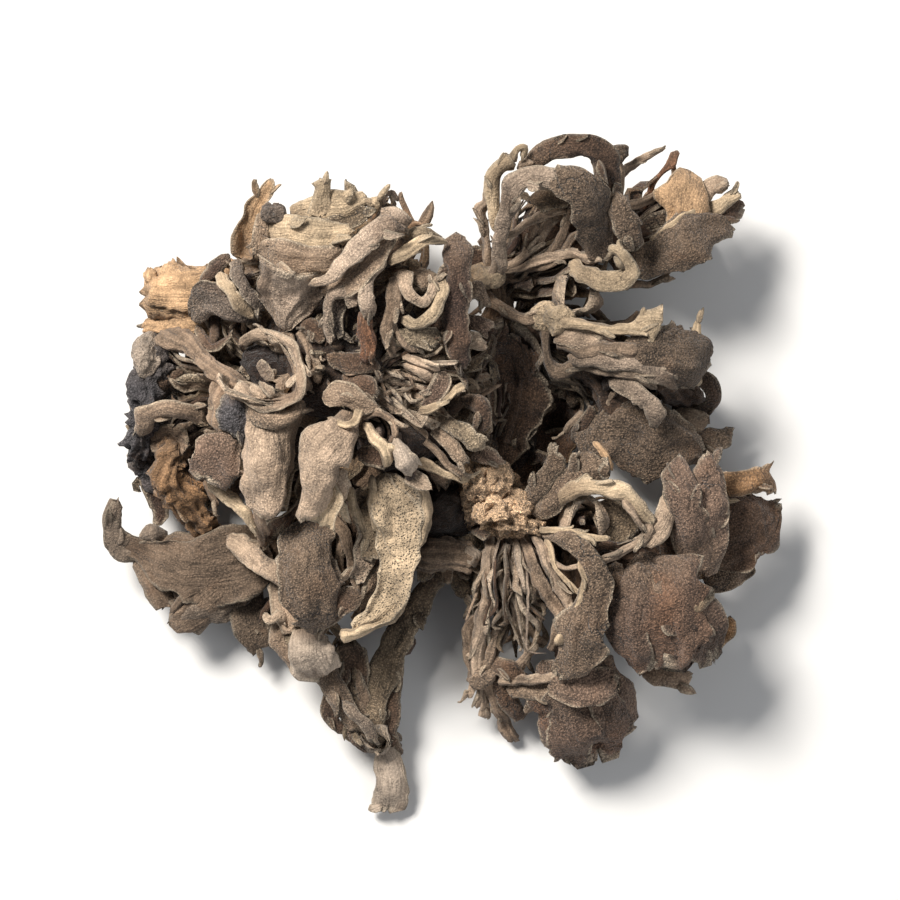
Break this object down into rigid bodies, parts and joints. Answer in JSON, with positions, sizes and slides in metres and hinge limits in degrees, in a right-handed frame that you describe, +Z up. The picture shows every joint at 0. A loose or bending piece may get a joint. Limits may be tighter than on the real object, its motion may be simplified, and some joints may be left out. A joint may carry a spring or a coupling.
{
  "type": "maitake mushroom",
  "caption": "Dried maitake mushroom: a low cluster of thin curled grey-brown fronds and stems grown from one crumbly broken base.",
  "frame": {"origin": "middle of the box around the cluster, on the surface that it lies on", "axes": "+Z up, as it lies with its fronds upward; -X is the tall pale left cluster, +Y the side of the upper right spray, -Y the thin pale-tipped tail"},
  "size_m": [0.1128, 0.1107, 0.0426],
  "materials": {
    "pale_fronds": "dry and matte, like thin leathery bark",
    "dark_crust": "dry and matte, like thin leathery bark",
    "olive_fronds": "dry and matte, like thin leathery bark",
    "grainy_fronds": "dry and matte, like thin leathery bark",
    "grey_stalk": "dry and matte, like thin leathery bark",
    "rose_fronds": "dry and matte, like thin leathery bark",
    "tan_fronds": "dry and matte, like thin leathery bark",
    "cap_fronds": "dry and matte, like thin leathery bark",
    "crumbly_base": "dry and matte, like thin leathery bark"
  },
  "bodies": {
    "root": {"left_cluster": "pale_fronds", "dark_lobe": "dark_crust", "left_lobe": "olive_fronds", "lower_fronds": "grainy_fronds", "tail_branch": "grey_stalk", "lower_right": "rose_fronds", "middle_right": "tan_fronds", "upper_right": "cap_fronds", "stalk_base": "crumbly_base"}
  },
  "joints": []
}
